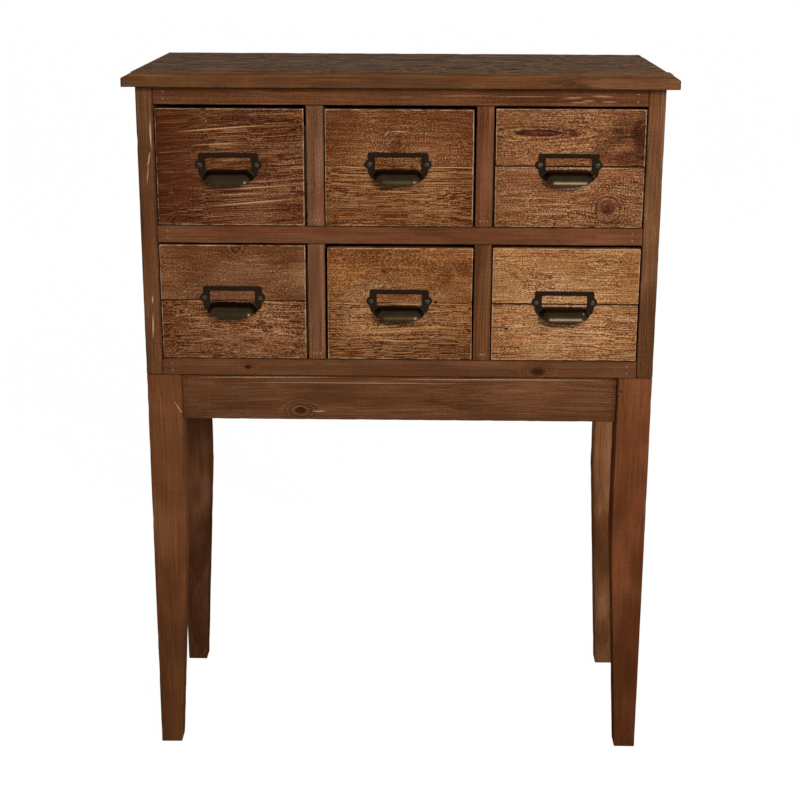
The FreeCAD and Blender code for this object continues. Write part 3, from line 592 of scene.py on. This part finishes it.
# The boards of the case that are a node each: name, long axis, how the wood lies, middle tone and look
CASE_BOARDS = (
    ("left_side_panel", 2, UPRIGHT_FRONT, "#5f3b24", dict(
        SATIN, seed=3, ring=8, pith=(-300, 60), flecks=0.2, wear=1.6,
        scratches=((852, -308.1, 813, -307.8, 2.6), (813, -309, 790, -313, 2.0),
                   (795, -311.7, 770, -314.6, 1.4), (630, -313, 618, -313.4, 2.2),
                   (608, -313.5, 571, -314.7, 2.4), (548, -303, 528, -303, 1.8)))),
    # The right panel is darker lower down.
    ("right_side_panel", 2, UPRIGHT_FRONT, "#6b452b", dict(
        SATIN, seed=5, ring=8, pith=(290, 60), flecks=0.2, stains=((590, 315, 110, 90, "#bdb5b2", 0.7),))),
    ("top_rail", 0, LEVEL_FRONT, "#5c3720", dict(
        BANDED, seed=7, ring=6, pith=(860, 45), flecks=0.2, fibre=0.34, speckle=0.16, torn_tone="#9a7058",
        scratches=((196, 879, 226, 880, 2.6), (222, 876, 240, 876, 2.2), (232, 882, 262, 881, 2.8),
                   (206, 874, 232, 874, 2.0), (244, 875, 268, 875, 2.0), (30, 881, 120, 881.4, 1.2),
                   (110, 880.5, 195, 881, 1.2)))),
    ("middle_rail", 0, LEVEL_FRONT, "#643c25", dict(SMOOTH, seed=9, ring=7, pith=(730, 50))),
    ("bottom_rail", 0, LEVEL_FRONT, "#5b3822", dict(
        SMOOTH, seed=12, ring=6, pith=(500, 50),
        knots=((178.1, 532.5, 3.6, 1.8, 0.3), (-194, 536, 2.2, 1.6, 0.2)))),
)

# How far painted shade reaches up a leg from the floor, and each leg's middle tone, seed, tone and strength
# of that shade, and marks
FOOT_SHADE_REACH = 300
LEGS = {
    "front_left_leg": ("#663e24", 40, "#c8c0b8", 0.55, dict(scratches=((490, -291, 471, -280, 1.6),))),
    "front_right_leg": ("#683b22", 43, "#c4bdb6", 0.9, dict(holes=((506.7, 285.4, 1.3),))),
    "back_left_leg": ("#5b3823", 46, "#c4bdb6", 0.9, {}),
    "back_right_leg": ("#835637", 49, "#bcb8ae", 0.9, {}),
}
LEVEL_APRON = dict(APRON, seed=55, pith=(500, 40), flecks=0.25)
APRON_MARKS = dict(
    knots=((-128, 476.2, 4.2, 1.6, 0.6),), calm=((-231, 495, 42, 8),),
    scratches=((-276, 519.5, -60, 521.2, 1.2), (-40, 518.5, 284, 520, 1.2), (-210, 513, 100, 514, 0.9),
               (-115, 474.6, -93, 475.4, 1.8)))

# The drawer fronts. The trim is how far a front stops short of its solid at the left, the right and the top,
# in millimetres. Then come how its wood grew and its marks, and the tones and brushing of each plank, from
# the lower to the upper. Planks meet at the joints.
FRONTS = {
    "upper_left": dict(
        trim=(0, 1.4, 2.4),
        wood=dict(
            slope=4, ring=9, pith=(905, 30), wander=4, clouds=0.1,
            holes=((-139.8, 852.3, 1.0), (-126.1, 845.4, 1.2), (-139.2, 831.5, 1.2), (-132.1, 853.9, 0.8)),
            scratches=((-283, 835.2, -158, 845, 2.2), (-245, 763, -121, 771, 2.1),
                       (-243, 743, -121, 754, 2.2), (-236, 768, -170, 771, 1.4),
                       (-262, 819, -190, 823, 1.5), (-238, 757, -160, 761, 1.5)),
            calm=((-285, 800, 40, 90), (-190, 712, 60, 8)),
            handled=((-185, 766, 104, 84, "#d6c5a8"),)),
        planks=(
            dict(tones=palette("#2a0e01", "#522812", "#a07350"), seed=70, strand_length=90,
                 strand_width=0.75, fibre=0.56, speckle=0.34, flecks=0.4, relief=0.22),
        ),
    ),
    "upper_middle": dict(
        trim=(0, 1.3, 2.4),
        wood=dict(
            slope=-1.5, ring=6, pith=(700, 26), wander=6, rings=0.05, clouds=0.12,
            knots=((-5.4, 821, 7.0, 1.1, 0.25),), joints=((794.9, 0.9, 0.1),),
            scratches=((-20, 831, -13, 838, 1.6), (-14, 837.4, 14, 837.4, 1.6), (30, 793.6, 92, 793.8, 1.5),
                       (-92, 793.4, -40, 793.6, 1.0), (-28, 764, 22, 762, 2.2), (-60, 770, -10, 768.5, 1.2)),
            handled=((0, 778, 84, 68, "#d4c2ae"),)),
        planks=(
            dict(tones=palette("#3c1905", "#5f3213", "#ac7c52"), seed=74, strand_length=120,
                 strand_width=0.75, fibre=0.95, speckle=0.44, flecks=1.0),
            dict(tones=palette("#441f08", "#6b3d1c", "#bc9068"), seed=75, strand_length=60, fibre=0.22,
                 speckle=0.32, flecks=0.3, relief=0.15),
        ),
    ),
    "upper_right": dict(
        trim=(0.8, 0, 1.0),
        wood=dict(
            ring=8, pith=(838, 30), wander=6, clouds=0.14,
            knots=((170.6, 836.7, 4.2, 7.2, 0.85), (258.6, 745.1, 9.5, 1.05, 0.3)),
            joints=((795.9, 1.4, 1.0),),
            holes=((124, 849.9, 1.1), (124.2, 841.3, 1.1), (297.2, 783.4, 1.0), (299.4, 762.2, 1.2),
                   (295.6, 735.9, 0.9)),
            scratches=((118, 756, 215, 756, 1.2), (160, 748, 225, 748.4, 1.3), (150, 736.5, 225, 736.5, 1.4),
                       (190, 793.6, 300, 793.6, 1.4)),
            stains=((248, 818, 19, 13, "#8f8372", 0.6), (262, 830, 18, 13, "#8f8372", 0.6),
                    (276, 840, 16, 13, "#968b7a", 0.5), (300, 836, 14, 26, "#6b3a2a", 0.75),
                    (284, 806, 44, 12, "#7d4c3a", 0.7)),
            handled=((205, 790, 80, 65, "#d9d2c4"),)),
        planks=(
            dict(tones=palette("#321809", "#7f4d2d", "#c49972"), seed=78, fibre=0.36, speckle=0.4, flecks=0.2,
                 relief=0.25),
            dict(tones=palette("#351909", "#855231", "#caa075"), seed=79, strand_length=50, fibre=0.28,
                 speckle=0.3, flecks=0.1, clouds=0.08, relief=0.15),
        ),
    ),
    "lower_left": dict(
        trim=(0, 1.1, 0.4),
        wood=dict(
            ring=7, pith=(640, 24), wander=7, clouds=0.14,
            knots=((-206, 691, 7.0, 0.9, 0.6),), joints=((623.4, 1.1, 0.85),),
            holes=((-166, 612, 1.2), (-143.8, 582.4, 1.2)),
            scratches=((-277, 600, -215, 600, 1.5), (-277, 622, -235, 622, 1.3), (-270, 568, -225, 575, 1.3)),
            stains=((-132.8, 595.6, 12, 4, "#8c6a58", 0.8),),
            handled=((-198, 602, 80, 62, "#d8c8b4"),)),
        planks=(
            dict(tones=palette("#361909", "#663b20", "#b98860"), seed=85, strand_width=0.8, fibre=0.5,
                 speckle=0.36, flecks=0.45, relief=0.22),
            dict(tones=palette("#41240f", "#71482d", "#c9a27c"), seed=86, fibre=0.17, speckle=0.22,
                 clouds=0.2, flecks=0.06, relief=0.1),
        ),
    ),
    "lower_middle": dict(
        trim=(1.6, 0, 2.8),
        wood=dict(
            ring=6, pith=(540, 22), wander=5, clouds=0.12,
            knots=((-19, 662.5, 1.8, 1.2, 1.0),), joints=((621.9, 0.9, 0.1),), holes=((46, 622.4, 2.0),),
            scratches=((-90, 620.6, -38, 620.6, 1.4), (-40, 573, 30, 571, 1.8)),
            stains=((0, 560, 120, 20, "#b4ab9e", 0.6), (60, 655, 14, 14, "#9c7a66", 0.5),
                    (80, 668, 14, 14, "#9c8272", 0.4)),
            handled=((-5, 598, 85, 62, "#dac6ac"),)),
        planks=(
            dict(tones=palette("#401e09", "#6f3d1d", "#b28458"), seed=89, strand_length=140,
                 strand_width=0.75, fibre=1.3, speckle=0.6, flecks=1.2),
            dict(tones=palette("#4c2a12", "#7f502c", "#c9a074"), seed=90, fibre=0.2, speckle=0.3, clouds=0.16,
                 flecks=0.12, relief=0.15),
        ),
    ),
    "lower_right": dict(
        trim=(0, 0, 2.2),
        wood=dict(
            ring=6, pith=(600, 24), wander=6, clouds=0.12,
            knots=((136.3, 588.9, 1.6, 2.0, 0.6),), joints=((621.4, 1.4, 1.0),),
            holes=((134.6, 663.4, 1.0), (121.8, 672.9, 1.0), (154.9, 666.8, 1.1), (130.1, 650.5, 1.1),
                   (157.0, 649.1, 1.2), (132.0, 639.3, 1.0), (121.8, 598.6, 1.1), (158.4, 594.6, 1.1),
                   (155.8, 569.4, 1.1), (134.6, 562.6, 1.2), (297.2, 574.8, 1.2), (224.8, 555.1, 1.0)),
            handled=((205, 600, 95, 68, "#ddd0bd"),)),
        planks=(
            dict(tones=palette("#522810", "#915f38", "#cb9f72"), seed=93, strand_length=90, strand_width=0.8,
                 fibre=0.62, speckle=0.44, flecks=0.5),
            dict(tones=palette("#5b3014", "#9d6c43", "#dab285"), seed=94, strand_length=70, fibre=0.42,
                 speckle=0.36, flecks=0.15, relief=0.25),
        ),
    ),
}


def length(name, description, millimetres):
    """A setting that holds a length."""
    metres = millimetres * MM
    return bpy.props.FloatProperty(name=name, description=description, default=metres, unit="LENGTH")


def power(name, description, watts):
    """A setting that holds the power of a lamp."""
    return bpy.props.FloatProperty(name=name, description=description, default=watts, subtype="POWER")


class ChestWear(bpy.types.PropertyGroup):
    arris: length("Arris", "Radius of the boards' edges", 1.0)
    front_arris: length("Front arris", "Radius of the edges of the drawer fronts", 0.8)
    chip: length("Chips", "Depth of the chips along the edges", 0.5)
    front_chip: length("Front chips", "Depth of the chips along the drawer fronts", 0.9)
    board_inset: length("Board inset", "How far the faces lie inside their solids, so brad heads show", 0.12)


class ChestStand(bpy.types.PropertyGroup):
    taper_height: length("Taper", "Height of the tapered part of a leg", 315)
    foot_width: length("Foot", "Width of a leg at the floor", 28)


class ChestTop(bpy.types.PropertyGroup):
    bevel_width: length("Bevel width", "Width of the bevel round the raised field", 11.5)
    bevel_drop: length("Bevel drop", "Fall of the bevel", 5.8)
    corner: length("Corner", "Radius of the two front corners", 2.5)
    planed: length("Planed", "Length of the right bevel that is narrower", 44)
    field_step: length("Field step", "Height of the raised field above the bevel", 1.2)


class ChestPulls(bpy.types.PropertyGroup):
    voxel: length("Stamping grain", "Cell size that the stamped sheet is rounded with", 0.42)
    softening: bpy.props.IntProperty(
        name="Softening", description="Passes that soften the stamped edges", default=4)
    screw_round: length("Screw rounding", "Width of the rounding of the screw heads", 0.6)


class ChestStage(bpy.types.PropertyGroup):
    floor_colour: bpy.props.FloatVectorProperty(
        name="Floor", description="Colour of the pale floor", subtype="COLOR", default=linear("#c4c1bd")[:3])
    side_power: power("Side light", "Power of the small light at the right, in watts", 30.0)
    shoulder_power: power("Shoulder light", "Power of the small light above the right end, in watts", 6.5)
    front_power: power("Front light", "Power of the wide light above the camera, in watts", 62.0)
    room_light: bpy.props.FloatProperty(
        name="Room light", description="Strength of the light from all round", default=0.3)


def frame_board(sizes, name, title, node, box, axis, lie, tone, **look):
    """A worn and stained board of the frame, in the place of one solid of a CAD node."""
    low, high = stock(*box, sizes.board_inset)
    piece = board(name, low, high, axis, sizes.arris, sizes.chip)
    material = timber("Stained fir " + title, shades(tone), lie, (low, high), **look)
    finish_board(piece, "chest", material, "stained_fir", node)


class CHEST_OT_case(bpy.types.Operator):
    """Side panels, front rails and mullions of the case"""
    bl_idname = "chest.case"
    bl_label = "Case frame"

    def execute(self, context):
        wear = context.scene.chest_wear
        for name, *build, look in CASE_BOARDS:
            frame_board(wear, name + "_board", name, name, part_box(name), *build, **look)
        middle = sum(corner.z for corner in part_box("middle_rail")) / 2
        mullions = boxes_of("mullions", lambda place: (place.x > 0, place.z > middle))
        for index, (box, tone) in enumerate(zip(mullions, MULLION_TONES)):
            pith = ((box[0].x + wear.board_inset) / MM - 20, 40)
            frame_board(wear, f"mullion_board_{index}", f"mullion {index}", "mullions", box, 2,
                        UPRIGHT_FRONT, tone, seed=20 + index, ring=6, pith=pith, **SATIN)
        return {"FINISHED"}


# What counts as the same height or the same side
SAME = 0.1 * MM
# The small radius round the top board, how its cuts keep to a step and stay clear of its bevel and its back,
# and the share of the bevel's width that is planed off at the right
TOP_ARRIS = 0.45 * MM
TOP_STEP = 12 * MM
BEVEL_CLEAR = 14 * MM
BACK_CLEAR = 4 * MM
PLANED_OFF = 0.25


class CHEST_OT_top(bpy.types.Operator):
    """Top board with a raised field inside a bevelled front and ends"""
    bl_idname = "chest.top"
    bl_label = "Top board"

    def execute(self, context):
        wear = context.scene.chest_wear
        low, high = stock(*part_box("top_board"), wear.board_inset)
        piece = self.shape(low, high, context.scene.chest_top)
        chew_edges(piece, wear.chip)
        edge = timber("Stained fir bevel", shades("#603e25"), LEVEL_FRONT, (low, high), **BEVEL)
        finish_board(piece, "chest", edge, "stained_fir", "top_board")
        # Grey weathered field, whose tones also hold painted sheen
        field = timber("Weathered fir field", TOP_WEATHER_AND_SHEEN, LEVEL_TOP, (low, high), **FIELD)
        piece.data.materials.append(field)
        # The ends are darker: end grain soaks up more stain, and the dark tone also holds painted shade.
        end = timber("Stained fir end grain", shades("#3a2416"), UPRIGHT_FRONT, (low, high), **END_GRAIN_AND_SHADE)
        piece.data.materials.append(end)
        for face in piece.data.polygons:
            if face.normal.z > 0.9 and face.center.z > high.z - wear.chip:
                face.material_index = 1
            elif abs(face.normal.x) > 0.35:
                face.material_index = 2
        return {"FINISHED"}

    def shape(self, low, high, sizes):
        shoulder = high.z - sizes.field_step - sizes.bevel_drop
        piece = new_block("top_board_worn", low, (high.x, high.y, shoulder))
        choose(piece, lambda place: place.z > shoulder - SAME)
        bpy.ops.mesh.extrude_region_move(TRANSFORM_OT_translate={"value": (0, 0, sizes.bevel_drop)})
        field = shoulder + sizes.bevel_drop - SAME
        for side, test in (
            ((sizes.bevel_width, 0, 0), lambda place: place.x < 0),
            ((-sizes.bevel_width, 0, 0), lambda place: place.x > 0),
            ((0, sizes.bevel_width, 0), lambda place: place.y < 0),
        ):
            choose(piece, lambda place: place.z > field and test(place))
            bpy.ops.transform.translate(value=side)
        choose(piece, lambda place: place.z > field)
        bpy.ops.mesh.extrude_region_move(TRANSFORM_OT_translate={"value": (0, 0, sizes.field_step)})
        for x in (low.x, high.x):
            choose(piece, lambda place: place.z < field and place.y < 0 and abs(place.x - x) < SAME)
            bpy.ops.mesh.bevel(offset=sizes.corner, segments=3, affect="EDGES", clamp_overlap=True)
        rounded(TOP_ARRIS)
        slice_at(0, steps_between(low.x + BEVEL_CLEAR, high.x - BEVEL_CLEAR, TOP_STEP))
        slice_at(1, steps_between(low.y + BEVEL_CLEAR, high.y - BACK_CLEAR, TOP_STEP))
        # At the right the bevel was planed narrower towards the front
        inner = high.x - sizes.bevel_width - 2 * MM
        back = low.y + sizes.planed
        choose(piece, lambda place: place.z > shoulder + MM and place.x > inner and place.y < back)
        bpy.ops.transform.translate(value=(sizes.bevel_width * PLANED_OFF, 0, 0))
        set_mode("OBJECT")
        return piece


# The radius along a leg, and how its cuts keep to a step and stay clear of its ends
LEG_ARRIS = 1.4 * MM
LEG_STEP = 14 * MM
LEG_CLEAR = 3 * MM


class CHEST_OT_stand(bpy.types.Operator):
    """Four tapered legs and the aprons between them"""
    bl_idname = "chest.stand"
    bl_label = "Stand"

    def execute(self, context):
        wear = context.scene.chest_wear
        for name, (tone, seed, foot_shade, strength, marks) in LEGS.items():
            low, high = stock(*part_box(name), wear.board_inset)
            low.z = 0.0
            piece = self.leg(name, low, high, context.scene.chest_stand)
            chew_edges(piece, wear.chip)
            middle = (low.x + high.x) / 2 / MM
            # Painted shade, darkest at the floor and fading up the leg
            stains = ((0, middle, FOOT_SHADE_REACH, FOOT_SHADE_REACH, foot_shade, strength),)
            material = timber("Stained fir " + name, shades(tone), UPRIGHT_FRONT, (low, high),
                              seed=seed, pith=(middle, 70), stains=stains, **marks, **LEG)
            finish_board(piece, "chest", material, "stained_fir", name)
        for name, marks in (("front_apron", APRON_MARKS), ("back_apron", {})):
            frame_board(wear, name + "_board", name, name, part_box(name), 0, LEVEL_FRONT, APRON_TONE,
                        **LEVEL_APRON, **marks)
        for side, box in zip(("left", "right"), boxes_of("side_aprons", lambda place: place.x > 0)):
            frame_board(wear, side + "_apron_board", side + " apron", "side_aprons", box, 1, LEVEL_SIDE,
                        APRON_TONE, seed=60, pith=(500, 200), **APRON)
        return {"FINISHED"}

    def leg(self, name, low, high, sizes):
        """A square leg whose two inner faces taper towards the foot."""
        piece = new_block(name + "_turned_in", low, high)
        slice_at(2, (sizes.taper_height,))
        cut_back = (high.x - low.x) - sizes.foot_width
        left = name.endswith("left_leg")
        front = name.startswith("front")
        choose(piece, lambda place: place.z < MM and (place.x > (low.x + high.x) / 2) == left)
        bpy.ops.transform.translate(value=(-cut_back if left else cut_back, 0, 0))
        choose(piece, lambda place: place.z < MM and (place.y > (low.y + high.y) / 2) == front)
        bpy.ops.transform.translate(value=(0, -cut_back if front else cut_back, 0))
        rounded(LEG_ARRIS)
        slice_at(2, steps_between(LEG_CLEAR, high.z - LEG_CLEAR, LEG_STEP))
        set_mode("OBJECT")
        return piece


FRONT_STEP = 6 * MM


class CHEST_OT_drawer_fronts(bpy.types.Operator):
    """Six drawer fronts of one plank or two"""
    bl_idname = "chest.drawer_fronts"
    bl_label = "Drawer fronts"

    def execute(self, context):
        wear = context.scene.chest_wear
        for name, look in FRONTS.items():
            node = name + "_drawer_front"
            left, right, top = [size * MM for size in look["trim"]]
            low, high = map(Vector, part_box(node))
            low, high = low + Vector((left, 0, 0)), high - Vector((right, 0, top))
            seams = [across * MM for across, *line in look["wood"].get("joints", ())]
            levels = [low.z, *seams, high.z]
            for index, (foot, head) in enumerate(zip(levels, levels[1:])):
                piece = board(f"{node}_plank_{index}", (*low.xy, foot), (*high.xy, head), 0,
                              wear.front_arris, wear.front_chip, step=FRONT_STEP)
                wood = {**BRUSHED, **look["wood"], **look["planks"][index]}
                material = timber(f"Brushed fir {name} {index}", lie=LEVEL_FRONT, box=(low, high), **wood)
                finish_board(piece, name + "_drawer", material, "drawer_front_fir", node)
        return {"FINISHED"}


# How far the stamped sheet is softened at each pass, and the share of its faces that are kept
PASS_SHARE = 0.5
KEPT_FACES = 0.3


class CHEST_OT_pulls(bpy.types.Operator):
    """Stamped bronze label pulls and their screws, each rounded from its own solid"""
    bl_idname = "chest.pulls"
    bl_label = "Label pulls"

    def execute(self, context):
        sizes = context.scene.chest_pulls
        for index, name in enumerate(DRAWERS):
            piece = copied(name + "_pull", name + "_stamped_pull")
            apply_modifier(piece, "REMESH", mode="VOXEL", voxel_size=sizes.voxel)
            apply_modifier(piece, "SMOOTH", factor=PASS_SHARE, iterations=sizes.softening)
            apply_modifier(piece, "DECIMATE", ratio=KEPT_FACES)
            metal = bronze(f"Antique bronze {name}", index)
            finish_board(piece, name, metal, "antique_bronze", name + "_pull")
            activate(piece)
            bpy.ops.object.shade_smooth()
            piece.select_set(False)
            screws = copied(name + "_screws", name + "_turned_screws")
            apply_modifier(screws, "BEVEL", width=sizes.screw_round, segments=3, limit_method="ANGLE")
            metal = steel(f"Worn steel {name}", "#4a453e", "#16120e")
            finish_board(screws, name, metal, "worn_steel", name + "_screws")
        return {"FINISHED"}


# The inner parts of the case and how their wood lies
INNER_PARTS = {
    "middle_shelf": LEVEL_TOP,
    "bottom_board": LEVEL_TOP,
    "top_batten": LEVEL_FRONT,
    "partitions": LEVEL_SIDE,
    "drawer_runners": LEVEL_SIDE,
    "drawer_guides": LEVEL_SIDE,
    "corner_blocks": UPRIGHT_FRONT,
}


class CHEST_OT_carcass(bpy.types.Operator):
    """Finishes of the inner parts, drawer boxes, screws and brads"""
    bl_idname = "chest.carcass"
    bl_label = "Inner parts"

    def execute(self, context):
        for index, (name, lie) in enumerate(INNER_PARTS.items()):
            wood = timber("Plain fir " + name, BOX_TONES, lie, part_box(name), seed=90 + index, **PLAIN)
            self.dress(name, wood)
        back = timber("Plywood back", PLY_TONES, UPRIGHT_FRONT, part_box("back_panel"), seed=99, **PLY)
        self.dress("back_panel", back)
        for index, drawer in enumerate(DRAWERS):
            for part, lie in (("_sides", LEVEL_SIDE), ("_back", LEVEL_FRONT)):
                name = drawer + part
                wood = timber("Fir box " + name, BOX_TONES, lie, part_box(name), seed=110 + index, **PLAIN)
                self.dress(name, wood)
            name = drawer + "_bottom"
            wood = timber("Plywood " + drawer, PLY_TONES, LEVEL_TOP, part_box(name), seed=130 + index, **PLY)
            self.dress(name, wood)
        self.dress("case_screws", steel("Worn steel screws", "#4a443c", "#3a2415"))
        self.dress("brad_nails", steel("Worn steel brads", "#a68c70", "#4a3524"))
        return {"FINISHED"}

    def dress(self, name, material):
        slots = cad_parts[name].data.materials
        slots.clear()
        slots.append(material)


# The floor: its width, its cuts, how much of its own light the camera sees, and how white that is
FLOOR_WIDTH = 60
FLOOR_CUTS = 6
FLOOR_GLOW_SHARE = 0.86
FLOOR_GLOW = 1.12
ROOM_TINT = (1, 0.98, 0.95, 1)
# Each lamp's place, what it is turned to, its width and height, and the setting that holds its power
LAMPS = {
    "Side light": ((2.3, -2.5, 1.3), (0, 0, 0.7), (0.3, 0.34), "side_power"),
    "Shoulder light": ((1.5, -0.1, 2.2), (0, 0, 0.7), (0.14, 0.2), "shoulder_power"),
    "Front light": ((0.8, -2.9, 2.0), (0, 0, 0.6), (1.2, 0.7), "front_power"),
}
# Where the picture was taken from, as fitted to the edges of the frame: degrees of yaw, pitch and roll
CAMERA_PLACE = (0.03266, -2.14003, 1.08124)
CAMERA_TURN = (0.8967, -16.4024, -0.2296)
CAMERA_LENS = 72.61
SENSOR_WIDTH = 36


def seen_light(node):
    """1 on the rays that the camera sees, also in a mirror or through glass, and 0 on those that light."""
    seen = node("LightPath", out="Is Camera Ray")
    for way in ("Is Glossy Ray", "Is Transmission Ray"):
        seen = node("Math MAXIMUM", seen, node("LightPath", out=way))
    return seen


class CHEST_OT_stage(bpy.types.Operator):
    """Pale floor, soft lights, room light and the camera"""
    bl_idname = "chest.stage"
    bl_label = "Stage"

    def execute(self, context):
        settings = context.scene.chest_stage
        self.floor(settings.floor_colour)
        self.room(context, settings.room_light)
        for name, (place, aim, size, power) in LAMPS.items():
            self.lamp(name, place, aim, size, getattr(settings, power))
        self.camera(context)
        context.scene.view_settings.view_transform = "Standard"
        return {"FINISHED"}

    def floor(self, colour):
        deselect()
        bpy.ops.mesh.primitive_plane_add(size=FLOOR_WIDTH, location=(0, 0, 0))
        floor = bpy.context.object
        floor.name = "studio_floor"
        set_mode("EDIT")
        bpy.ops.mesh.subdivide(number_cuts=FLOOR_CUTS)
        set_mode("OBJECT")
        material, node = blank_material("Painted studio floor")
        glow_share = node("Math MULTIPLY", seen_light(node), FLOOR_GLOW_SHARE)
        painted = node("BsdfPrincipled", named={"Base Color": (*colour, 1.0), "Roughness": 0.8})
        glow = node("Emission", (1, 1, 1, 1), FLOOR_GLOW)
        shader = node("MixShader", glow_share, painted, glow)
        node("OutputMaterial", shader)
        floor.data.materials.append(material)

    def room(self, context, strength):
        world = bpy.data.worlds.new("Studio room")
        context.scene.world = world
        world.use_nodes = True
        world.node_tree.nodes.clear()
        node = partial(add, world.node_tree)
        white = node("Background", (1, 1, 1, 1), 1.0)
        soft = node("Background", ROOM_TINT, strength)
        both = node("MixShader", seen_light(node), soft, white)
        node("OutputWorld", both)

    def lamp(self, name, place, aim, size, power):
        deselect()
        bpy.ops.object.light_add(type="AREA", location=place)
        lamp = bpy.context.object
        lamp.name = name
        lamp.rotation_euler = (Vector(aim) - Vector(place)).to_track_quat("-Z", "Y").to_euler()
        lamp.data.shape = "RECTANGLE"
        lamp.data.size, lamp.data.size_y = size
        lamp.data.energy = power

    def camera(self, context):
        deselect()
        bpy.ops.object.camera_add()
        camera = bpy.context.object
        camera.name = "Camera"
        camera.data.sensor_width = SENSOR_WIDTH
        camera.data.lens = CAMERA_LENS
        yaw, pitch, roll = [math.radians(angle) for angle in CAMERA_TURN]
        turn = Matrix.Rotation(yaw, 4, "Z") @ Matrix.Rotation(pitch, 4, "X") @ Matrix.Rotation(roll, 4, "Y")
        level = Matrix.Rotation(math.radians(90), 4, "X")
        camera.matrix_world = Matrix.Translation(CAMERA_PLACE) @ (turn @ level)
        context.scene.camera = camera


class CHEST_PT_panel(bpy.types.Panel):
    """Lists the pieces of the chest and the sizes that shape them"""
    bl_label = "Apothecary chest"
    bl_idname = "CHEST_PT_panel"
    bl_space_type = "VIEW_3D"
    bl_region_type = "UI"
    bl_category = "Chest"

    def draw(self, context):
        for operator in PIECES:
            self.layout.operator(operator.bl_idname)
        for group in GROUPS:
            settings = getattr(context.scene, group)
            for name in settings.bl_rna.properties.keys():
                if name not in ("rna_type", "name"):
                    self.layout.prop(settings, name)


PIECES = (CHEST_OT_top, CHEST_OT_case, CHEST_OT_stand, CHEST_OT_drawer_fronts, CHEST_OT_pulls,
          CHEST_OT_carcass, CHEST_OT_stage)
GROUPS = {"chest_wear": ChestWear, "chest_stand": ChestStand, "chest_top": ChestTop,
          "chest_pulls": ChestPulls, "chest_stage": ChestStage}


def register():
    for kind in (*GROUPS.values(), *PIECES, CHEST_PT_panel):
        bpy.utils.register_class(kind)
    for name, group in GROUPS.items():
        setattr(bpy.types.Scene, name, bpy.props.PointerProperty(type=group))


def unregister():
    for name in GROUPS:
        delattr(bpy.types.Scene, name)
    for kind in (CHEST_PT_panel, *reversed(PIECES), *reversed(GROUPS.values())):
        bpy.utils.unregister_class(kind)


def main():
    register()
    for operator in PIECES:
        group, name = operator.bl_idname.split(".")
        getattr(getattr(bpy.ops, group), name)()


if __name__ == "__main__":
    main()
